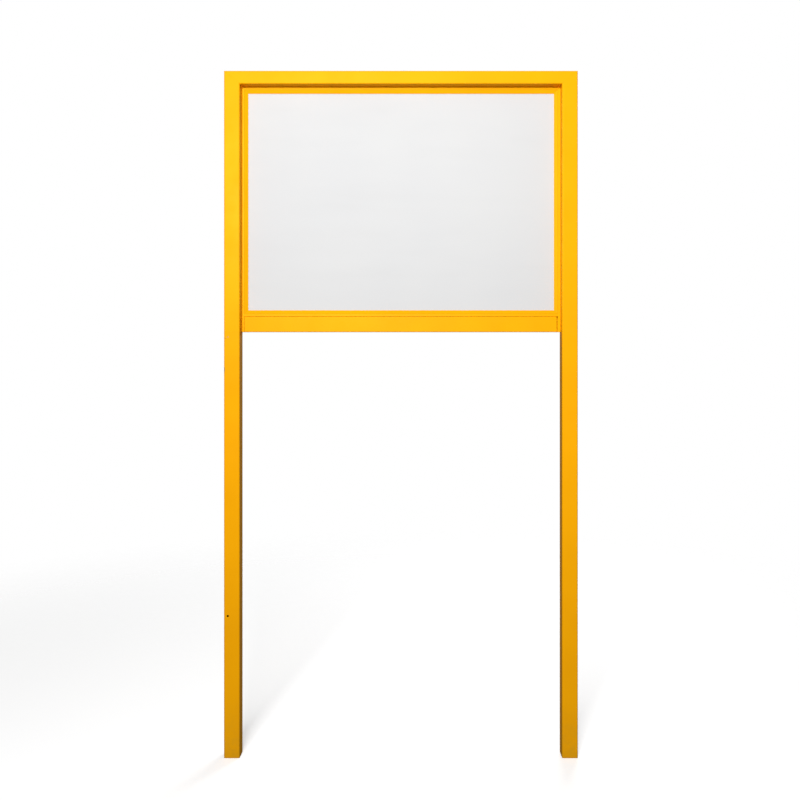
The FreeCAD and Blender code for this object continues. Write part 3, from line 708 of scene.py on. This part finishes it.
def make_floor():
    """A pale floor disc that fades into the white surround."""
    builder = bmesh.new()
    bmesh.ops.create_circle(builder, cap_ends=True, radius=FLOOR_RADIUS, segments=96)
    floor = new_object("studio_floor", builder)
    paint = Paint("pale_floor", (0.9, 0.9, 0.9), 0.7, specular=0.2)
    paint.normal(paint.bump(paint.noise(40.0, 4.0), 0.1 * MM, 0.2))
    far = paint.node("ShaderNodeVectorMath", operation="LENGTH")
    paint.feed(far.inputs[0], paint.place)
    mixer = paint.node("ShaderNodeMixShader")
    clear = paint.node("ShaderNodeBsdfTransparent")
    paint.feed(mixer.inputs[0], paint.ramp(far.outputs["Value"], *FLOOR_FADE))
    paint.feed(mixer.inputs[1], paint.shader.outputs[0])
    paint.feed(mixer.inputs[2], clear.outputs[0])
    output = next(node for node in paint.tree.nodes if node.type == "OUTPUT_MATERIAL")
    paint.feed(output.inputs["Surface"], mixer.outputs[0])
    paint.shader.inputs["Emission Color"].default_value = (1, 1, 1, 1)
    paint.shader.inputs["Emission Strength"].default_value = FLOOR_GLOW
    floor.data.materials.append(paint.material)
    floor.visible_diffuse = False
    floor.visible_glossy = False


def make_world():
    """White to the eye; as light, a soft sky that is brighter above than ahead."""
    world = bpy.data.worlds.new("studio")
    bpy.context.scene.world = world
    world.use_nodes = True
    tree = world.node_tree
    tree.nodes.clear()
    place = tree.nodes.new("ShaderNodeTexCoord")
    split = tree.nodes.new("ShaderNodeSeparateXYZ")
    tree.links.new(place.outputs["Generated"], split.inputs[0])
    height = tree.nodes.new("ShaderNodeMapRange")
    height.inputs["From Min"].default_value = -0.3
    height.inputs["From Max"].default_value = 1.0
    height.inputs["To Min"].default_value = SKY_LOW
    height.inputs["To Max"].default_value = SKY_HIGH
    tree.links.new(split.outputs["Z"], height.inputs["Value"])
    sky = tree.nodes.new("ShaderNodeBackground")
    sky.inputs["Color"].default_value = (1, 1, 1, 1)
    tree.links.new(height.outputs["Result"], sky.inputs["Strength"])
    white = tree.nodes.new("ShaderNodeBackground")
    white.inputs["Color"].default_value = (1, 1, 1, 1)
    seen = tree.nodes.new("ShaderNodeLightPath")
    mixer = tree.nodes.new("ShaderNodeMixShader")
    tree.links.new(seen.outputs["Is Camera Ray"], mixer.inputs[0])
    tree.links.new(sky.outputs[0], mixer.inputs[1])
    tree.links.new(white.outputs[0], mixer.inputs[2])
    output = tree.nodes.new("ShaderNodeOutputWorld")
    tree.links.new(mixer.outputs[0], output.inputs["Surface"])


def soft_light(name, place, target, width, height, power, spread=180):
    light = bpy.data.lights.new(name, "AREA")
    light.shape = "RECTANGLE"
    light.size, light.size_y = width, height
    light.energy = power
    light.spread = math.radians(spread)
    lamp = bpy.data.objects.new(name, light)
    lamp.location = place
    lamp.rotation_euler = (Vector(target) - Vector(place)).to_track_quat("-Z", "Y").to_euler()
    bpy.context.scene.collection.objects.link(lamp)


def make_camera():
    """Square on to the sign, a little right of its middle and below the panel."""
    lens = bpy.data.cameras.new("camera")
    lens.lens = CAMERA_LENS
    lens.sensor_width = 36
    lens.shift_x, lens.shift_y = CAMERA_SHIFT
    camera = bpy.data.objects.new("camera", lens)
    camera.location = CAMERA_PLACE
    camera.rotation_euler = (math.radians(90), 0, 0)
    bpy.context.scene.collection.objects.link(camera)
    bpy.context.scene.camera = camera


# ---------------------------------------------------------------- light, camera and marks
SKY_LOW, SKY_HIGH = 0.08, 0.25
FLOOR_GLOW = 0.35
CAMERA_LENS = 39.1
CAMERA_SHIFT = (-0.0202, -0.0485)
CAMERA_PLACE = (0.058, -HALF_DEPTH - 3.3, 1.508)
KEY_PLACE = (-0.65, -5.0, 3.1)
KEY_TARGET = (0.2, 0.0, 2.6)
KEY_POWER = 205
KEY_SPREAD = 132
REAR_PLACE = (1.6, 4.6, 3.6)
REAR_TARGET = (0, 0, 1.6)
REAR_POWER = 120

# chips in the left leg's coat: place, reach, and how much each axis counts
LEFT_EDGE, FRONT = LEG_LOW.x, -HALF_DEPTH
LEFT_CHIPS = [
    ((LEFT_EDGE + 1 * MM, FRONT + 2 * MM, 1.476), 4.5 * MM, (1, 1, 0.35)),
    ((LEFT_EDGE + 5 * MM, FRONT, 1.595), 2 * MM, (1, 1, 0.6)),
]


def main():
    scene = bpy.context.scene
    scene.view_settings.view_transform = "Standard"
    materials = {
        "portal": powder_coat("portal_coat"),
        "left_leg": powder_coat("left_leg_coat", 0.97, True, LEFT_CHIPS),
        "right_leg": powder_coat("right_leg_coat", 1.0, True),
        # the foot caps' coat is a fifth darker than the legs', and darker again towards the ground
        "foot": powder_coat("foot_coat", 0.8, True),
        "frame": powder_coat("frame_coat"),
        "rail": powder_coat("rail_coat"),
        "bead": powder_coat("bead_coat", 0.98),
        "face": print_sheet(),
        "board": composite_board(),
        "zinc": zinc("zinc_plate", (0.58, 0.58, 0.56)),
        "screw": zinc("zinc_screw", (0.62, 0.61, 0.58)),
        "front_screw": painted_screw(front_screw_seat()),
        "gasket": moulded("gasket_rubber", (0.50, 0.50, 0.50), 0.7),
        "plastic": moulded("black_plastic", (0.035, 0.035, 0.035), 0.5),
    }
    make_legs(materials)
    make_head(materials)
    make_foot_caps(materials)
    make_splice_screws(materials)
    make_frame(materials)
    make_bottom_rail(materials)
    make_beads(materials)
    make_sheet_piece("sign_face", materials["face"], 0.4 * MM)
    make_sheet_piece("backing_board", materials["board"], 0.3 * MM)
    dress_cad_nodes(materials)
    make_floor()
    make_world()
    soft_light("key", KEY_PLACE, KEY_TARGET, 1.6, 1.2, KEY_POWER, KEY_SPREAD)
    soft_light("rear_fill", REAR_PLACE, REAR_TARGET, 2.0, 2.0, REAR_POWER)
    make_camera()


main()
